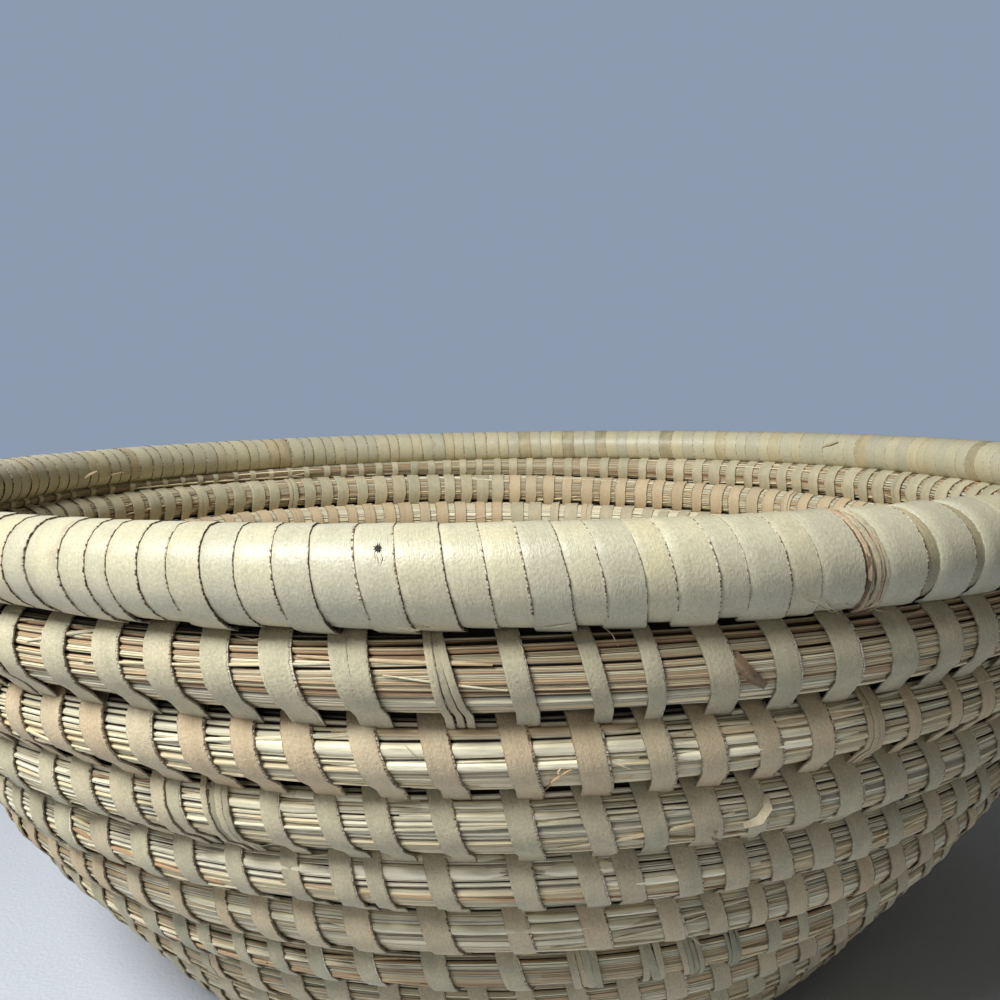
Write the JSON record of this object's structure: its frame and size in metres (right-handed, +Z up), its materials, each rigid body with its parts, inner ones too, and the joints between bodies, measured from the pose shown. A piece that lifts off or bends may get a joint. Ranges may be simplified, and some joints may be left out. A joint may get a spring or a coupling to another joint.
{
  "type": "coiled basket",
  "caption": "Round open coiled basket: spiral floor, flared wall and a rounder rim wound closely with palm leaf strip.",
  "frame": {"origin": "centre of the surface that the basket stands on, on the basket's axis", "axes": "+Z up along the axis of the bowl, -Y towards the pictured side, +X to its right"},
  "size_m": [0.325, 0.325, 0.124],
  "materials": {
    "grass_bundle": "dry grass stems laid side by side, straw to reddish brown, matt",
    "rim_bundle": "dry grass stems, matt, hidden under the rim binding",
    "palm_strip": "dried palm leaf, fine lengthwise fibres, soft sheen, rough edges",
    "knot_leaf": "dried palm leaf, matt"
  },
  "bodies": {
    "root": {"start_knot": "knot_leaf", "floor_coil": "grass_bundle", "wall_coil": "grass_bundle", "rim_coil": "rim_bundle", "rim_binding": "palm_strip"}
  },
  "joints": []
}
